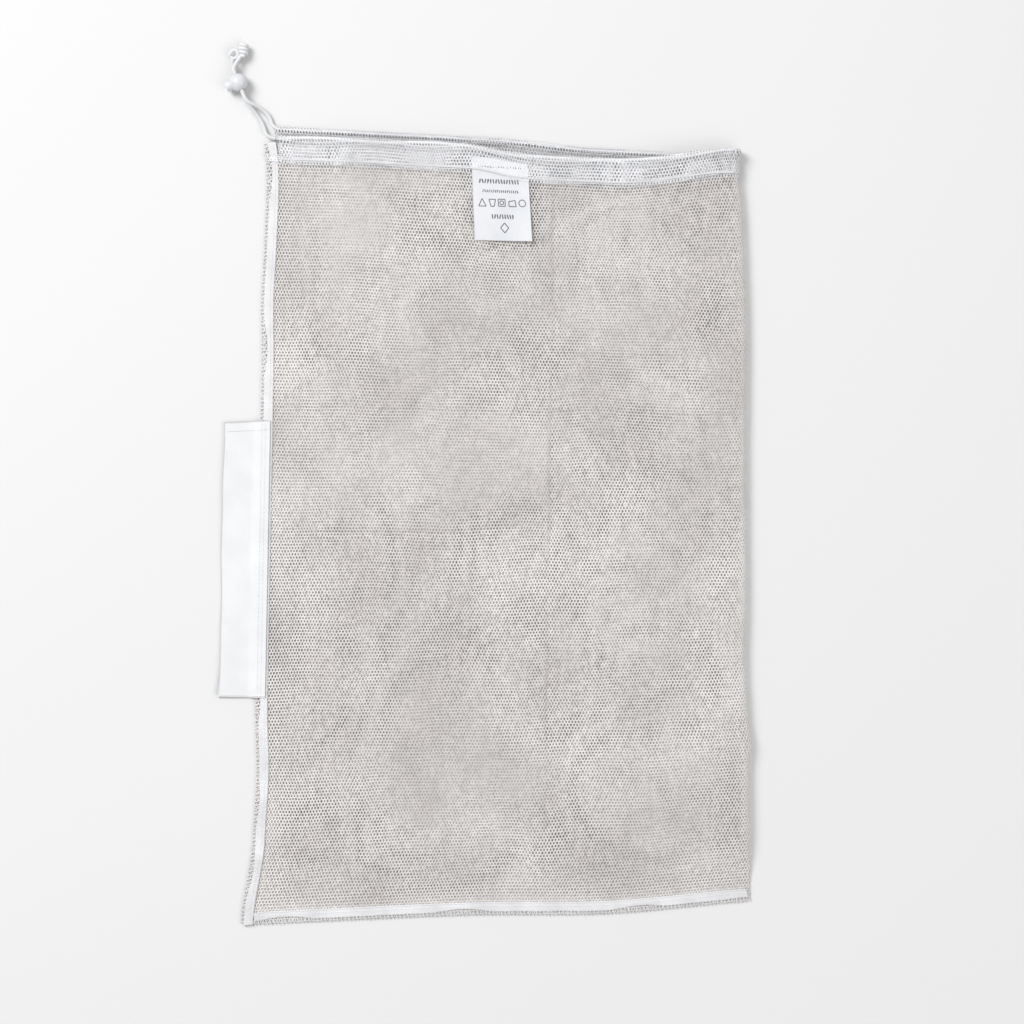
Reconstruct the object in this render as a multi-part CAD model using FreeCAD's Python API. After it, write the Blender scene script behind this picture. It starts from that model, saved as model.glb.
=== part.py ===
"""Mesh produce bag: a tube of knitted net lying flat, with an overlocked side seam and foot seam, a hemmed
mouth that holds a drawstring, a ball cord lock on the string's two ends, a care label and a side tag.

Millimetres. The bag lies on its back panel on the plane Z = 0. +Y points to the mouth, +X to the folded
edge, +Z up. The origin is under the middle of the bag, tag included and free string left out.
"""

import FreeCAD, Part
import math
import os

V = FreeCAD.Vector

# ---- cloth ----
net_t = 0.7             # thickness of the knitted net
loft = 7.9              # clear height inside the bag, over the middle
layer_gap = 0.05        # between the two hems where they meet at the corner

# ---- outline of the bag as it lies ----
mouth_width = 298.5     # along the mouth, from the side seam's outer edge to the folded edge
seam_length = 498.0     # along Y, from the mouth's corner to the foot
mouth_drop = 15.5       # the mouth lies this much lower at the folded edge
seam_lean = 10.0        # the side seam's foot stands out by this
fold_lean = 6.5         # the folded edge's foot stands out by this
foot_rise = 15.5        # the foot seam lies this much higher at the folded edge
side_ramp = 45.0        # the front panel rises over this width beside the side seam
foot_ramp = 40.0        # and over this length above the foot seam
ramp_bend_r = 60.0      # of the front hem, where it comes level
foot_fold_gap = 0.1     # inside radius of the fold where it closes on the foot seam

# ---- overlocked seams ----
seam_band = 8.0         # seam allowance outside the seam line
overlock_width = 5.5    # how far the threads reach in from the cut edge
thread_t = 0.3          # thread lying on the cloth
edge_loop = 0.4         # thread loops standing off the cut edge

# ---- hem, channel and drawstring ----
cord_d = 2.3
channel_gap = 0.15      # round the string, in its channel
hem_depth = 17.0
front_setback = 6.0     # the front edge of the mouth lies this far below the back edge
mouth_gap = 4.6         # clear height of the mouth between the two channels
back_channel_start = 11.0   # the back channel opens this far from the corner
seam_clear = 12.0       # the side seam's allowance ends this far below the corner
stitch_width = 0.5
stitch_height = 0.25
stitch_inset = 1.0      # from the hem's edge

# ---- care label ----
label_width = 35.5
label_length = 41.0     # of the part that swings
label_t = 0.25
label_gap = 0.05
label_centre = 150.5    # from the corner, along the mouth
label_tuck = 11.0       # caught between the hem's two layers
label_neck = 2.0        # from the hem's edge to the crease it swings on

# ---- side tag ----
tag_length = 172.0
tag_start = 185.0       # from the corner, along the side seam
tag_reach = 20.8        # beyond the side seam's outer edge
tag_sewn = 6.5          # lies on the side seam
tag_t = 0.9             # two layers of tape
tag_gap = 0.05
tag_hem = 5.0           # from the tag's end to its hem stitch

# ---- cord lock ----
ball_d = 11.4
lock_offset = V(-15.25, 26.3, 0)    # from the corner of the mouth to the ball's middle
lock_heading = 112.0    # degrees from +X: the way the string leaves the ball
strand_gap = 0.1        # the two strands lie one above the other in the ball
slot_gap = 0.15
plunger_r = 3.2
plunger_clear = 0.06
plunger_out = 2.6       # how far the button stands out of the ball
press_travel = 1.8
plunger_wall = 0.8      # behind the plunger's slot
bore_floor = 1.1        # of the ball, behind the spring
spring_wire = 0.4
spring_r = 2.0
spring_turns = 3
arcs_per_turn = 24
lock_down = 4.0         # travel along the string towards the bag
lock_up = 2.0           # and towards the knots

# ---- free ends of the string ----
straight_below = 13.0   # from the ball's middle to the last bend below it
straight_above = 10.5
front_knot_r = 3.2
back_knot_r = 3.1
back_knot_length = 3.9

# ---- sizes that follow ----
channel_r = cord_d / 2 + channel_gap
tube_r = channel_r + net_t
back_z = tube_r                                 # height of the string's middle in the back channel
front_z = 3 * tube_r + mouth_gap                # and in the front channel
corner_z = 2 * net_t + layer_gap + tube_r       # and where the front channel ends at the corner
panel_z = net_t + loft                          # underside of the front panel
hem_panel_z = front_z - tube_r                  # and where it meets the hem
fold_r = (panel_z + net_t) / 2                  # outside radius of the folded edge
hem_fold_r = (hem_panel_z + net_t) / 2          # and where it meets the hem
foot_fold_r = net_t + foot_fold_gap             # outside radius where the fold closes on the foot seam
turn_r = math.hypot(front_z - back_z, front_setback) / 2    # of the string, round the folded edge
channel_end = mouth_width - turn_r - tube_r     # along the mouth, where that turn begins
slope = math.atan2(mouth_drop, mouth_width)
along = V(math.cos(slope), -math.sin(slope), 0)     # along the mouth, towards the folded edge
across = V(math.sin(slope), math.cos(slope), 0)     # out of the mouth
up = V(0, 0, 1)
cord_pitch = cord_d + strand_gap                # between the two strands in the ball
tag_foot_share = (tag_start + tag_length) / seam_length
corner = V(
    (tag_reach + seam_lean * tag_foot_share - mouth_width * along.x - fold_lean) / 2,
    (seam_length + back_channel_start * -along.y) / 2,
    0,
)
seam_foot = corner + V(-seam_lean, -seam_length, 0)
fold_top = corner + along * mouth_width
fold_foot = V(fold_top.x + fold_lean, seam_foot.y + foot_rise, 0)


# ---- plane geometry ----
def unit(v):
    return v * (1 / v.Length)


def line(p, q, inset=0.0):
    """The line from p to q, moved to its left by inset."""
    d = unit(q - p)
    return p + V(-d.y, d.x, 0) * inset, d


def cross(first, second):
    """Where two lines of the plan meet."""
    (p, d), (q, e) = first, second
    w = q - p
    s = (w.x * e.y - w.y * e.x) / (d.x * e.y - d.y * e.x)
    return p + d * s


def at_z(p, z):
    return V(p.x, p.y, z)


def prism(outline, low, high):
    """A flat plate over an outline of the plan, from z low to z high."""
    points = [at_z(p, low) for p in outline]
    return Part.Face(Part.makePolygon(points + points[:1])).extrude(up * (high - low))


def seam_line(inset):
    return line(seam_foot, corner, -inset)


def foot_line(inset):
    return line(seam_foot, fold_foot, inset)


def mouth_line(inset):
    return line(corner, fold_top, -inset)


def fold_line(inset):
    return fold_top - along * inset, unit(fold_foot - fold_top)


back_hem_edge = mouth_line(hem_depth)
front_hem_edge = mouth_line(hem_depth + front_setback)
channel_end_line = corner + along * channel_end, across


# ---- net panels and the folded edge ----
def back_net():
    """The back panel, flat on the surface."""
    outline = [
        cross(seam_line(seam_band), foot_line(seam_band)),
        cross(fold_line(foot_fold_r), foot_line(seam_band)),
        cross(fold_line(fold_r), foot_line(seam_band + foot_ramp)),
        cross(fold_line(hem_fold_r), front_hem_edge),
        cross(channel_end_line, front_hem_edge),
        cross(channel_end_line, back_hem_edge),
        cross(seam_line(seam_band), back_hem_edge),
    ]
    return prism(outline, 0, net_t)


def front_net():
    """The front panel: level over the middle, sloping down to the side seam and to the foot seam."""
    high = panel_z
    corner_low = corner_z - tube_r
    top_seam = at_z(cross(seam_line(seam_band), front_hem_edge), corner_low)
    top_ramp = at_z(top_seam + along * side_ramp, hem_panel_z)
    top_fold = at_z(cross(fold_line(hem_fold_r), front_hem_edge), hem_panel_z)
    low_fold = at_z(cross(fold_line(fold_r), foot_line(seam_band + foot_ramp)), high)
    foot_fold = at_z(cross(fold_line(foot_fold_r), foot_line(seam_band)), 2 * foot_fold_r - net_t)
    foot_seam = at_z(cross(seam_line(seam_band), foot_line(seam_band)), net_t)
    inner = at_z(cross(seam_line(seam_band + side_ramp), foot_line(seam_band + foot_ramp)), high)
    facets = [
        (top_ramp, inner, top_fold),
        (inner, low_fold, top_fold),
        (top_seam, inner, top_ramp),
        (top_seam, foot_seam, inner),
        (foot_seam, foot_fold, inner),
        (inner, foot_fold, low_fold),
    ]
    rim = [top_seam, foot_seam, foot_fold, low_fold, top_fold, top_ramp]
    lift = up * net_t
    faces = []
    for facet in facets:
        faces.append(Part.Face(Part.makePolygon(list(facet) + [facet[0]])))
        raised = [p + lift for p in facet]
        faces.append(Part.Face(Part.makePolygon(raised + raised[:1])))
    for p, q in zip(rim, rim[1:] + rim[:1]):
        faces.append(Part.Face(Part.makePolygon([p, q, q + lift, p + lift, p])))
    return solid_of(faces)


def solid_of(faces):
    solid = Part.makeSolid(Part.makeShell(faces))
    if solid.Volume < 0:
        solid.reverse()
    return solid


def ring_part(middle, radius, wall, first, last, outward=along):
    """Part of a ring that stands on z = 0: from one angle to another above the outward direction."""
    centre = at_z(middle, radius)
    inner = radius - wall

    def at(r, degrees):
        angle = math.radians(degrees)
        return centre + (outward * math.cos(angle) + up * math.sin(angle)) * r

    middle_angle = (first + last) / 2
    return Part.Wire([
        Part.Arc(at(radius, first), at(radius, middle_angle), at(radius, last)).toShape(),
        Part.makeLine(at(radius, last), at(inner, last)),
        Part.Arc(at(inner, last), at(inner, middle_angle), at(inner, first)).toShape(),
        Part.makeLine(at(inner, first), at(radius, first)),
    ])


def fold_part(first, last):
    """The cloth running round the folded edge, between two angles, closing on the foot seam."""
    top = cross(fold_line(hem_fold_r), front_hem_edge)
    low = cross(fold_line(fold_r), foot_line(seam_band + foot_ramp))
    foot = cross(fold_line(foot_fold_r), foot_line(seam_band))
    top_ring = ring_part(top, hem_fold_r, net_t, first, last)
    foot_ring = ring_part(foot, foot_fold_r, net_t, first, last, unit(fold_foot - seam_foot))
    roll = Part.makeLoft([top_ring, ring_part(low, fold_r, net_t, first, last)], True, True)
    closing = Part.makeLoft([ring_part(low, fold_r, net_t, first, last), foot_ring], True, True)
    return roll.fuse(closing).removeSplitter()


# ---- overlocked seams ----
def strip(first, second, start, end, low, high):
    """A plate between two lines of the plan, cut off by two others."""
    outline = [cross(first, start), cross(first, end), cross(second, end), cross(second, start)]
    return prism(outline, low, high)


cloth_low = thread_t
cloth_high = thread_t + 2 * net_t
band_top = cloth_high + thread_t


def side_seam_allowance():
    outer, inner = seam_line(edge_loop), seam_line(seam_band)
    foot = foot_line(edge_loop)
    band = strip(outer, inner, foot, front_hem_edge, cloth_low, cloth_high)
    at_hem = strip(outer, inner, front_hem_edge, mouth_line(seam_clear), cloth_low, 4 * net_t)
    return band.fuse(at_hem).removeSplitter()


def side_seam_overlock():
    foot = foot_line(0)
    threads = strip(seam_line(0), seam_line(overlock_width), foot, front_hem_edge, 0, band_top)
    return threads.cut(side_seam_allowance())


def foot_seam_allowance():
    start, end = seam_line(seam_band), fold_line(0)
    return strip(foot_line(edge_loop), foot_line(seam_band), start, end, cloth_low, cloth_high)


def foot_seam_overlock():
    start, end = seam_line(seam_band), fold_line(0)
    threads = strip(foot_line(0), foot_line(overlock_width), start, end, 0, band_top)
    return threads.cut(foot_seam_allowance())


# ---- sweeps ----
def swept(profile, spine, sideways):
    pipe = Part.BRepOffsetAPI.MakePipeShell(spine)
    pipe.setBiNormalMode(sideways)
    pipe.add(profile)
    pipe.build()
    pipe.makeSolid()
    return pipe.shape()


def rounded(points, radii):
    """Straight runs through the points, joined by tangent arcs of the given radii."""
    edges = []
    start = points[0]
    for before, at, after, radius in zip(points, points[1:], points[2:], radii):
        u = unit(at - before)
        w = unit(after - at)
        half = math.acos(max(-1.0, min(1.0, u.dot(w)))) / 2
        reach = radius * math.tan(half)
        first, last = at - u * reach, at + w * reach
        bisector = unit(w - u)
        centre = at + bisector * (radius / math.cos(half))
        edges.append(Part.LineSegment(start, first).toShape())
        edges.append(Part.Arc(first, centre - bisector * radius, last).toShape())
        start = last
    edges.append(Part.LineSegment(start, points[-1]).toShape())
    return Part.Wire(edges)


def tube(spine, radius, start, heading):
    pipe = Part.BRepOffsetAPI.MakePipeShell(spine)
    pipe.add(Part.Wire([Part.makeCircle(radius, start, heading)]))
    pipe.build()
    pipe.makeSolid()
    return pipe.shape()


# ---- hem and channel ----


def back_string(s):
    """The middle of the back channel, at s along the mouth."""
    return at_z(corner + along * s - across * tube_r, back_z)


def front_string(s, z):
    return at_z(corner + along * s - across * (tube_r + front_setback), z)


def front_start():
    """Where the string leaves the front channel, on the seam line."""
    p, d = seam_line(seam_band)
    return at_z(cross((front_string(0, 0), along), (p, d)), corner_z)


def front_knee():
    """Where the front channel comes level."""
    return front_string((front_start() - corner).dot(along) + side_ramp, front_z)


def front_route(start):
    return rounded([start, front_knee(), front_string(channel_end, front_z)], [ramp_bend_r])


front_heading = unit(front_knee() - front_start())
front_cut_start = front_start() - front_heading * 3     # swept from here and cut at the seam line


def section(centre, heading, points):
    """The corners of an outline square to a heading: distances out of the mouth, and heights."""
    rise = heading.cross(across)
    return [centre + across * a + rise * b for a, b in points]


hem_edge = tube_r - hem_depth       # from the string's middle, across the mouth
hem_top = 2 * net_t - tube_r        # top of the hem's two layers, from the string's middle


def channel_section(centre, heading):
    """The channel's round outside with the hem's two layers below it."""
    meet = -math.sqrt(tube_r ** 2 - hem_top ** 2)
    round_over = math.hypot(meet, tube_r + hem_top) / tube_r
    low, far, high, over, shoulder, edge_high, edge_low = section(centre, heading, [
        (0, -tube_r),
        (tube_r, 0),
        (0, tube_r),
        (meet / round_over, (tube_r + hem_top) / round_over),
        (meet, hem_top),
        (hem_edge, hem_top),
        (hem_edge, -tube_r),
    ])
    return Part.Wire([
        Part.Arc(low, far, high).toShape(),
        Part.Arc(high, over, shoulder).toShape(),
        Part.makeLine(shoulder, edge_high),
        Part.makeLine(edge_high, edge_low),
        Part.makeLine(edge_low, low),
    ])


def stitch_section(centre, heading):
    low = hem_edge + stitch_inset
    corners = section(centre, heading, [
        (low, hem_top),
        (low + stitch_width, hem_top),
        (low + stitch_width, hem_top + stitch_height),
        (low, hem_top + stitch_height),
    ])
    return Part.makePolygon(corners + corners[:1])


def beyond_seam():
    """Everything on the outer side of the seam line, for cutting the hems off there."""
    p, d = seam_line(seam_band)
    out = V(-d.y, d.x, 0) * 40
    a, b = p + d * (seam_length - 60), p + d * (seam_length + 40)
    return prism([a, b, b + out, a + out], -1, front_z + 10)


def label_pocket():
    """Between the hem's two layers, open at the hem's edge."""
    grow = label_gap
    return label_plate(-label_neck, label_tuck + grow, label_width / 2 + 2 * grow, -grow, label_t + grow)


def label_plate(low, high, half_width, bottom, top):
    """A plate in the label's plane: low and high from the hem's edge, towards the mouth."""
    base = corner + along * label_centre - across * (hem_depth + front_setback)
    z = label_z
    outline = [
        base - along * half_width + across * low,
        base + along * half_width + across * low,
        base + along * half_width + across * high,
        base - along * half_width + across * high,
    ]
    return prism(outline, z + bottom, z + top)


label_z = front_z - tube_r + net_t + label_gap      # underside of the label


def front_hem():
    route = front_route(front_cut_start)
    body = swept(channel_section(front_cut_start, front_heading), route, across)
    channel = tube(route, channel_r, front_cut_start, front_heading)
    return body.cut(channel).cut(beyond_seam()).cut(label_pocket())


def back_route(first):
    return Part.Wire([Part.makeLine(back_string(first), back_string(channel_end))])


def back_hem():
    start, route = back_string(0), back_route(0)
    body = swept(channel_section(start, along), route, across)
    body = body.cut(tube(route, channel_r, start, along)).cut(beyond_seam())
    r = tube_r
    mouth = section(start, along, [(-r, -r), (r, -r), (r, r), (-r, r)])
    opening = Part.Face(Part.makePolygon(mouth + mouth[:1])).extrude(along * back_channel_start)
    return body.cut(opening)


def front_hem_stitch():
    route = front_route(front_cut_start)
    return swept(stitch_section(front_cut_start, front_heading), route, across).cut(beyond_seam())


def back_hem_stitch():
    start = back_string(back_channel_start)
    return swept(stitch_section(start, along), back_route(back_channel_start), across)


def turn_arc():
    """The string's half turn from the front channel to the back one."""
    front, back = front_string(channel_end, front_z), back_string(channel_end)
    middle = (front + back) * 0.5
    return Part.Arc(front, middle + along * turn_r, back).toShape()


def channel_turn():
    spine = Part.Wire([turn_arc()])
    start = front_string(channel_end, front_z)
    return tube(spine, tube_r, start, along).cut(tube(spine, channel_r, start, along))


def hem_fold():
    """The hem's layers going round the folded edge, below the channel."""
    wall = 2 * net_t
    high = front_z - tube_r + wall
    radius = high / 2
    straight = mouth_width - radius - channel_end
    low_edge = cross(channel_end_line, front_hem_edge)
    ring_at = low_edge + along * straight
    ring = Part.Face(ring_part(ring_at, radius, wall, -90, 90))
    layers = [
        Part.Face(Part.makePolygon([
            at_z(low_edge, z), at_z(ring_at, z), at_z(ring_at, z + wall), at_z(low_edge, z + wall),
            at_z(low_edge, z),
        ]))
        for z in (0, high - wall)
    ]
    depth = across * (hem_depth - 2 * tube_r - 0.5)
    parts = [face.extrude(depth) for face in [ring] + layers]
    return parts[0].fuse(parts[1:]).removeSplitter()


# ---- drawstring ----
def drawstring():
    """The whole stretch that the channel holds: front, round the fold, back."""
    front = front_route(front_start())
    back = Part.makeLine(back_string(channel_end), back_string(back_channel_start))
    spine = Part.Wire(front.Edges + [turn_arc(), back])
    return tube(spine, cord_d / 2, front_start(), front_heading)


lock_middle = corner + lock_offset + up * (ball_d / 2)
lock_along = V(math.cos(math.radians(lock_heading)), math.sin(math.radians(lock_heading)), 0)
press_out = V(-lock_along.y, lock_along.x, 0)       # the way the plunger stands out
lower_strand = lock_middle - up * (cord_pitch / 2)
upper_strand = lock_middle + up * (cord_pitch / 2)


def front_tail_route():
    """Out of the front channel, up beside the corner, through the ball below the other strand."""
    return [
        front_start(),
        corner + V(2.0, -7.7, 3.2),
        corner + V(0.2, -0.3, 2.2),
        corner + V(-4.2, 6.8, 2.0),
        lower_strand - lock_along * straight_below,
        lower_strand + lock_along * straight_above,
        corner + V(-19.2, 42.4, 3.8),
    ]


def back_tail_route():
    """Out of the back channel, in a wider bow, through the ball above the other strand."""
    return [
        back_string(back_channel_start),
        corner + V(5.9, -1.9, 2.0),
        corner + V(3.9, 5.6, 2.2),
        corner + V(-2.6, 11.4, 4.2),
        upper_strand - lock_along * straight_below,
        upper_strand + lock_along * straight_above,
        corner + V(-15.8, 41.2, 6.2),
        corner + V(-12.5, 44.8, 4.2),
    ]


def tail(name, points):
    """A free end of the string, with arcs as large as its runs allow."""
    radii = []
    for before, at, after in zip(points, points[1:], points[2:]):
        turn = (at - before).getAngle(after - at)
        run = min((at - before).Length, (after - at).Length)
        radii.append(0.45 * run / math.tan(turn / 2))
    spine = rounded(points, radii)
    solid = tube(spine, cord_d / 2, points[0], points[1] - points[0])
    expected = spine.Length * math.pi * cord_d ** 2 / 4
    print(name, "radii", [round(r, 1) for r in radii], "length", round(spine.Length, 1),
          "volume share", round(solid.Volume / expected, 4))
    return solid


def front_tail_knot():
    return Part.makeSphere(front_knot_r, corner + V(-19.3, 43.8, front_knot_r))


def back_tail_knot():
    """A knot with its short end lying beside it."""
    low = corner + V(-12.0, 45.2, back_knot_r)
    body = Part.makeCylinder(back_knot_r, back_knot_length, low, V(0, 1, 0))
    ends = [Part.makeSphere(back_knot_r, low), Part.makeSphere(back_knot_r, low + V(0, back_knot_length, 0))]
    return body.fuse(ends).removeSplitter()


# ---- cord lock ----
bore_end = -(ball_d / 2 - bore_floor)               # along press_out, from the ball's middle
slot_low = -(cord_d / 2 + 0.05)                     # the plunger's slot bears on the strands here
slot_high = cord_d / 2 + 0.05 + press_travel
slot_half_height = (cord_pitch + cord_d) / 2 + slot_gap
plunger_back = slot_low - plunger_wall


def lock_box(low, high, half_along, half_height):
    """A box in the ball: low and high along press_out, the rest about the middle."""
    outline = [
        lock_middle + press_out * low - lock_along * half_along,
        lock_middle + press_out * high - lock_along * half_along,
        lock_middle + press_out * high + lock_along * half_along,
        lock_middle + press_out * low + lock_along * half_along,
    ]
    return prism(outline, lock_middle.z - half_height, lock_middle.z + half_height)


def cord_lock_body():
    ball = Part.makeSphere(ball_d / 2, lock_middle)
    bore = Part.makeCylinder(plunger_r + plunger_clear, ball_d, lock_middle + press_out * bore_end, press_out)
    half_slot = cord_d / 2 + slot_gap
    slot = lock_box(-half_slot, half_slot, ball_d, slot_half_height)
    return ball.cut(bore).cut(slot)


def cord_lock_plunger():
    length = ball_d / 2 + plunger_out - plunger_back
    body = Part.makeCylinder(plunger_r, length, lock_middle + press_out * plunger_back, press_out)
    outer = [e for e in body.Edges if e.Closed and (e.CenterOfMass - lock_middle).dot(press_out) > ball_d / 2]
    body = body.makeFillet(0.7, outer)
    return body.cut(lock_box(slot_low, slot_high, ball_d, slot_half_height))


def cord_lock_spring():
    """A coil between the bore's floor and the plunger, in short arcs."""
    first = bore_end + spring_wire / 2 + 0.05
    height = plunger_back - bore_end - spring_wire - 0.1
    arcs = spring_turns * arcs_per_turn
    sideways = press_out.cross(up)

    def at(step):
        angle = 2 * math.pi * step / arcs_per_turn
        rise = first + height * step / arcs
        return lock_middle + press_out * rise + (sideways * math.cos(angle) + up * math.sin(angle)) * spring_r

    edges = [Part.Arc(at(k), at(k + 0.5), at(k + 1)).toShape() for k in range(arcs)]
    return tube(Part.Wire(edges), spring_wire / 2, at(0), edges[0].tangentAt(edges[0].FirstParameter))


# ---- care label ----
def care_label_sewn_end():
    return label_plate(-label_neck, label_tuck, label_width / 2, 0, label_t)


def care_label_flap():
    return label_plate(-label_neck - label_length, -label_neck - label_gap, label_width / 2, 0, label_t)


# ---- side tag ----
tag_z = band_top + tag_gap


def tag_plate(outer, inner, start, end, low, high):
    """A plate on the side seam: outer and inner from its outer edge, start and end down from the corner."""
    down = unit(seam_foot - corner)
    inward = V(-down.y, down.x, 0)
    outline = [
        corner + down * start + inward * outer,
        corner + down * start + inward * inner,
        corner + down * end + inward * inner,
        corner + down * end + inward * outer,
    ]
    return prism(outline, low, high)


tag_end = tag_start + tag_length


def side_tag_sewn_edge():
    return tag_plate(0, tag_sewn, tag_start, tag_end, tag_z, tag_z + tag_t)


def side_tag_flap():
    return tag_plate(-tag_reach, -tag_gap, tag_start, tag_end, tag_z, tag_z + tag_t)


def side_tag_seam_stitch():
    top = tag_z + tag_t
    middle = tag_sewn / 2
    return tag_plate(middle, middle + stitch_width, tag_start + 1, tag_end - 1, top, top + stitch_height)


def side_tag_hem_stitch():
    top = tag_z + tag_t
    start = tag_start + tag_hem
    return tag_plate(-tag_reach + 1, -1, start, start + stitch_width, top, top + stitch_height)


parts = {
    "front_net": front_net(),
    "back_net": back_net(),
    "fold_edge_upper": fold_part(0, 90),
    "fold_edge_lower": fold_part(-90, 0),
    "side_seam_allowance": side_seam_allowance(),
    "side_seam_overlock": side_seam_overlock(),
    "foot_seam_allowance": foot_seam_allowance(),
    "foot_seam_overlock": foot_seam_overlock(),
    "front_hem": front_hem(),
    "back_hem": back_hem(),
    "hem_fold": hem_fold(),
    "channel_turn": channel_turn(),
    "front_hem_stitch": front_hem_stitch(),
    "back_hem_stitch": back_hem_stitch(),
    "drawstring": drawstring(),
    "front_tail": tail("front_tail", front_tail_route()),
    "back_tail": tail("back_tail", back_tail_route()),
    "front_tail_knot": front_tail_knot(),
    "back_tail_knot": back_tail_knot(),
    "cord_lock_body": cord_lock_body(),
    "cord_lock_plunger": cord_lock_plunger(),
    "cord_lock_spring": cord_lock_spring(),
    "care_label_sewn_end": care_label_sewn_end(),
    "care_label_flap": care_label_flap(),
    "side_tag_sewn_edge": side_tag_sewn_edge(),
    "side_tag_flap": side_tag_flap(),
    "side_tag_seam_stitch": side_tag_seam_stitch(),
    "side_tag_hem_stitch": side_tag_hem_stitch(),
}

os.makedirs("parts", exist_ok=True)
for name, shape in parts.items():
    box = shape.BoundBox
    print(name, shape.isValid(), len(shape.Solids), round(shape.Volume, 1),
          [round(v, 2) for v in (box.XMin, box.XMax, box.YMin, box.YMax, box.ZMin, box.ZMax)])
    shape.exportStep("parts/" + name + ".step")

down = unit(seam_foot - corner)
print("corner", corner, "along", along, "lock_middle", lock_middle, "press_out", press_out)
print("label hinge", corner + along * label_centre - across * (hem_depth + front_setback + label_neck),
      label_z + label_t)
print("tag hinge", corner + down * tag_start, down, tag_z + tag_t)
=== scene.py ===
import math

import bpy
import numpy as np
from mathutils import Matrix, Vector


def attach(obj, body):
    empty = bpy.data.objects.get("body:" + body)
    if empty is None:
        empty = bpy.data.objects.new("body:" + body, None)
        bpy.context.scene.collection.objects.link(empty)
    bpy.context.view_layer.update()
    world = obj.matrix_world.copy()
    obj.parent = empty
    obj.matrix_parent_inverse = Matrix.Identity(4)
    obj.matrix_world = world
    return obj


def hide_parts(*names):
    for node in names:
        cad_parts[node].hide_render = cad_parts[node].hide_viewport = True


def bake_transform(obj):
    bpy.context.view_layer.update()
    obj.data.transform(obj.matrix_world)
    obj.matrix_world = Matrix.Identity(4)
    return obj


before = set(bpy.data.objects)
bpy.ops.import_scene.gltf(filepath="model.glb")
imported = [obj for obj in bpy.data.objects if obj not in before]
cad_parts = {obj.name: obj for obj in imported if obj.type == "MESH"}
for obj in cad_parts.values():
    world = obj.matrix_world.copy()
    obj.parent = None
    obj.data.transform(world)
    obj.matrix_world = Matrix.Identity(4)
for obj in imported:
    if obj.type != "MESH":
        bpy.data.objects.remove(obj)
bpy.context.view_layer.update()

MM = 0.001
UP = np.array([0.0, 0.0, 1.0])
rng = np.random.default_rng(7)

# ---------------------------------------------------------------- sizes, in mm
corner = np.array([-138.315, 249.285])
seam_foot = np.array([-148.315, -248.715])
fold_top = np.array([159.784, 233.806])
fold_foot = np.array([166.284, -233.215])
along = (fold_top - corner) / np.linalg.norm(fold_top - corner)
across = np.array([-along[1], along[0]])
seam_band = 8.0
front_hem_depth = 23.0          # of the hem's edge below the line of the mouth
back_hem_depth = 17.0
hem_reach = 15.0                # from the hem's edge to the string's middle
cord_r = 1.15
hem_thread_r, seam_thread_r = 0.26, 0.29
tag_seam_thread_r, tag_hem_thread_r = 0.17, 0.2
net_half = 0.35                 # half the net's thickness
flat_half = 296.0               # each panel's width when measured along the cloth
fold_r = 4.3                    # of the round fold at the right edge
net_top = 8.95                  # middle of the front panel, over the middle of the bag
seam_top, seam_low = 1.35, 0.65     # middles of the two layers in a seam
side_ramp, foot_ramp = 45.0, 40.0
hem_gap = 0.7                   # from the panel to the hem's turned layer
channel_half_width, channel_half_height = 2.6, 1.65
channel_shift = 0.9             # the channel lies this much nearer the hem's edge than the string
string_height_front, string_height_back = 1.65, -0.95   # of the string's middle, out from the panel

pitch, row = 1.93, 2.0          # of the net's holes
zigzag = 0.16                   # of a row's height: how far the yarn between two rows swings
hole_w, hole_h = 0.62, 1.02     # half sizes of a hole
ridge, valley = 0.18, -0.20     # of the yarn, out from the middle of the net
uneven, uneven_hole = 0.035, 0.03   # how far knots and hole corners stray by chance
uneven_size = 0.07              # of a hole's size: how much holes differ


# ---------------------------------------------------------------- small helpers
def smooth(x):
    x = np.clip(x, 0.0, 1.0)
    return x * x * (3 - 2 * x)


def bump(x, middle, width):
    return np.exp(-((x - middle) / width) ** 2)


def line(p, q, inset):
    """The line from p to q moved to its left by inset: a point and a direction."""
    d = (q - p) / np.linalg.norm(q - p)
    return p + np.array([-d[1], d[0]]) * inset, d


def crossing(first, second):
    (p, d), (q, e) = first, second
    w = q - p
    return p + d * (w[0] * e[1] - w[1] * e[0]) / (d[0] * e[1] - d[1] * e[0])


def make_object(name, points_mm, faces, uv=None, smooth_shaded=True):
    """A mesh of triangles or quads from arrays, in mm."""
    faces = np.asarray(faces, np.int32)
    sides = faces.shape[1]
    mesh = bpy.data.meshes.new(name)
    mesh.vertices.add(len(points_mm))
    mesh.vertices.foreach_set("co", (np.asarray(points_mm) * MM).astype(np.float32).ravel())
    mesh.loops.add(faces.size)
    mesh.loops.foreach_set("vertex_index", faces.ravel())
    mesh.polygons.add(len(faces))
    mesh.polygons.foreach_set("loop_start", np.arange(0, faces.size, sides, dtype=np.int32))
    mesh.update(calc_edges=True)
    mesh.polygons.foreach_set("use_smooth", np.full(len(faces), smooth_shaded))
    if uv is not None:
        layer = mesh.uv_layers.new(name="OFBake")
        layer.data.foreach_set("uv", np.asarray(uv)[faces.ravel()].astype(np.float32).ravel())
    mesh.validate()
    obj = bpy.data.objects.new(name, mesh)
    bpy.context.scene.collection.objects.link(obj)
    return obj


def finish_piece(obj, material, body, replaced=()):
    obj.data.materials.clear()
    obj.data.materials.append(material)
    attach(obj, body)
    if replaced:
        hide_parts(*replaced)
    return obj


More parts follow.
